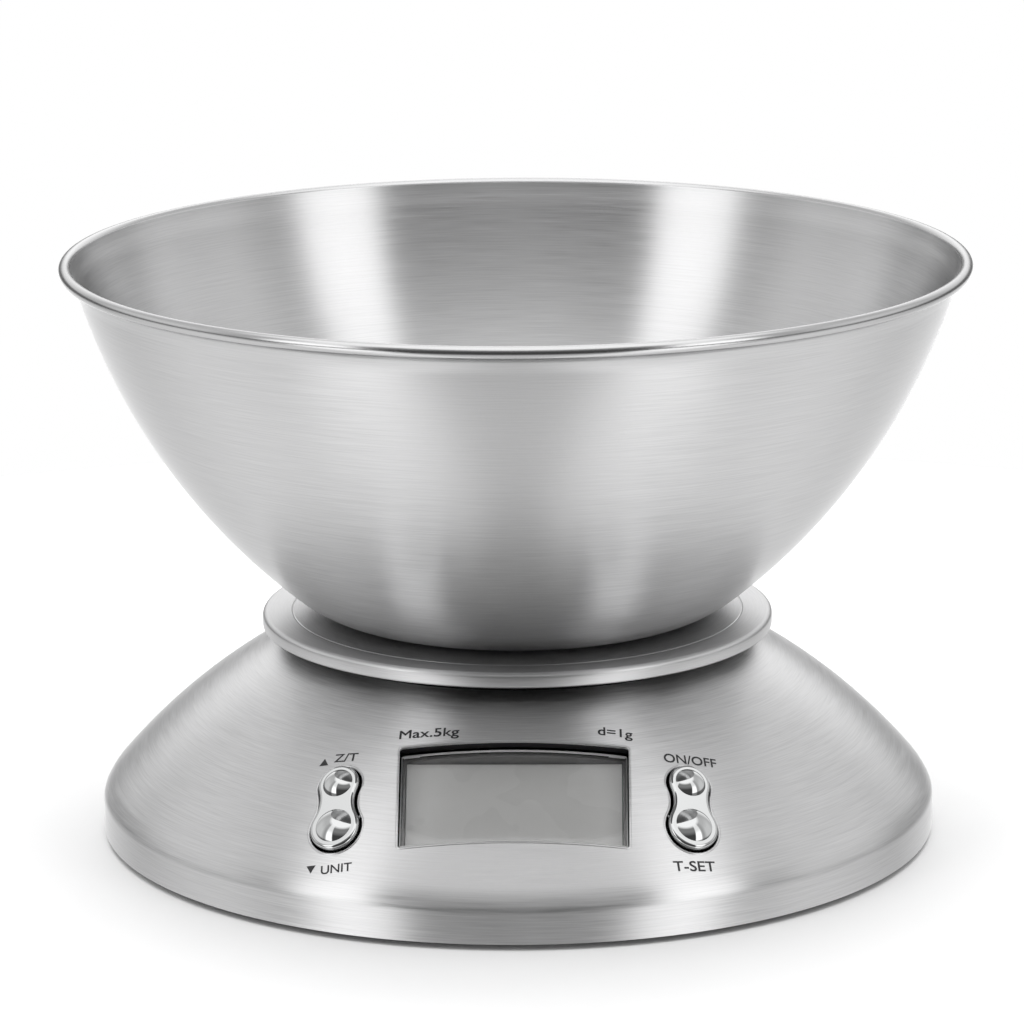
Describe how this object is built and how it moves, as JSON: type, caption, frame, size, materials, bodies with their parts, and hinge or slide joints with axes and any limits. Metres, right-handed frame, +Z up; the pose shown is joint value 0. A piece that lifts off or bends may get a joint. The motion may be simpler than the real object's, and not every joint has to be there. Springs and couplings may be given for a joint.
{
  "type": "kitchen scale",
  "caption": "Round electronic kitchen scale with a domed brushed steel casing, sunken display, rocker buttons, a weighing platform and a removable steel bowl.",
  "frame": {"origin": "on the table under the scale's vertical axis, at the height of the feet's undersides", "axes": "+Z up, -Y towards the reader of the display, +X to the reader's right"},
  "size_m": [0.216, 0.216, 0.1396],
  "materials": {
    "casing_steel": "circular brushed stainless steel, satin, 0.7 mm sheet",
    "bowl_steel": "spun and brushed stainless steel, brighter than the casing, 0.7 mm sheet",
    "platform_steel": "circular brushed stainless steel with a fine turned line near its edge",
    "button_chrome": "chrome plated moulding, mirror bright",
    "black_abs": "black moulded plastic with a fine spark texture",
    "display_acrylic": "clear moulded acrylic window with polished edges",
    "lcd": "grey-green reflective liquid crystal panel",
    "white_plastic": "white light guide",
    "circuit_board": "green solder mask on glass epoxy",
    "epoxy": "black moulded resin",
    "foot_rubber": "soft black rubber",
    "cell_aluminium": "milled and clear anodised aluminium",
    "plated_steel": "bright zinc or nickel plate",
    "battery_wrap": "plain dark shrink sleeve",
    "red_wire": "red insulation",
    "grey_wire": "grey jacket"
  },
  "bodies": {
    "base": {"outer_shell": "casing_steel", "inner_housing": "black_abs", "bottom_cover": "black_abs", "rubber_foot_1": "foot_rubber", "rubber_foot_2": "foot_rubber", "rubber_foot_3": "foot_rubber", "rubber_foot_4": "foot_rubber", "cover_screw_1": "plated_steel", "cover_screw_2": "plated_steel", "cover_screw_3": "plated_steel", "cover_screw_4": "plated_steel", "display_frame": "black_abs", "display_window": "display_acrylic", "lcd_glass": "lcd", "backlight_panel": "white_plastic", "main_board": "circuit_board", "microcontroller": "epoxy", "alarm_buzzer": "epoxy", "load_cell": "cell_aluminium", "load_cell_base": "plated_steel", "load_cell_screw_1": "plated_steel", "load_cell_screw_2": "plated_steel", "left_button_pin": "plated_steel", "left_button_frame": "black_abs", "left_key_board": "circuit_board", "left_key_switch_upper": "epoxy", "left_key_switch_lower": "epoxy", "right_button_pin": "plated_steel", "right_button_frame": "black_abs", "right_key_board": "circuit_board", "right_key_switch_upper": "epoxy", "right_key_switch_lower": "epoxy", "battery_1": "battery_wrap", "battery_2": "battery_wrap", "battery_spring_contact": "plated_steel", "battery_button_contact": "plated_steel", "battery_bridge_contact": "plated_steel", "battery_lead_black": "epoxy", "battery_lead_red": "red_wire", "load_cell_lead": "grey_wire"},
    "platform": {"platform_plate": "platform_steel", "platform_carrier": "black_abs", "platform_spacer": "black_abs", "platform_screw_1": "plated_steel", "platform_screw_2": "plated_steel"},
    "bowl": {"bowl": "bowl_steel"},
    "left_button": {"left_button": "button_chrome"},
    "right_button": {"right_button": "button_chrome"},
    "battery_door": {"battery_door": "black_abs"}
  },
  "joints": [
    {"name": "platform_travel", "type": "slide", "parent": "base", "child": "platform", "axis": [0, 0, 1], "range_m": [-0.0008, 0], "stiffness_N_per_m": 60000, "deforming": ["load_cell"]},
    {"name": "bowl_lift", "type": "slide", "parent": "platform", "child": "bowl", "axis": [0, 0, 1], "range_m": [0, 0.0266]},
    {"name": "left_button_rock", "type": "hinge", "parent": "base", "child": "left_button", "pos_m": [-0.03877, -0.07339, 0.02268], "axis": [0.9461, -0.2509, 0.205], "range_deg": [-2.5, 2.5], "stiffness_Nm_per_rad": 0.5},
    {"name": "right_button_rock", "type": "hinge", "parent": "base", "child": "right_button", "pos_m": [0.03877, -0.07339, 0.02268], "axis": [0.9461, 0.2509, -0.205], "range_deg": [-2.5, 2.5], "stiffness_Nm_per_rad": 0.5},
    {"name": "battery_door_open", "type": "hinge", "parent": "base", "child": "battery_door", "pos_m": [0, 0.0276, 0.0027], "axis": [-1, 0, 0], "range_deg": [0, 75]}
  ]
}
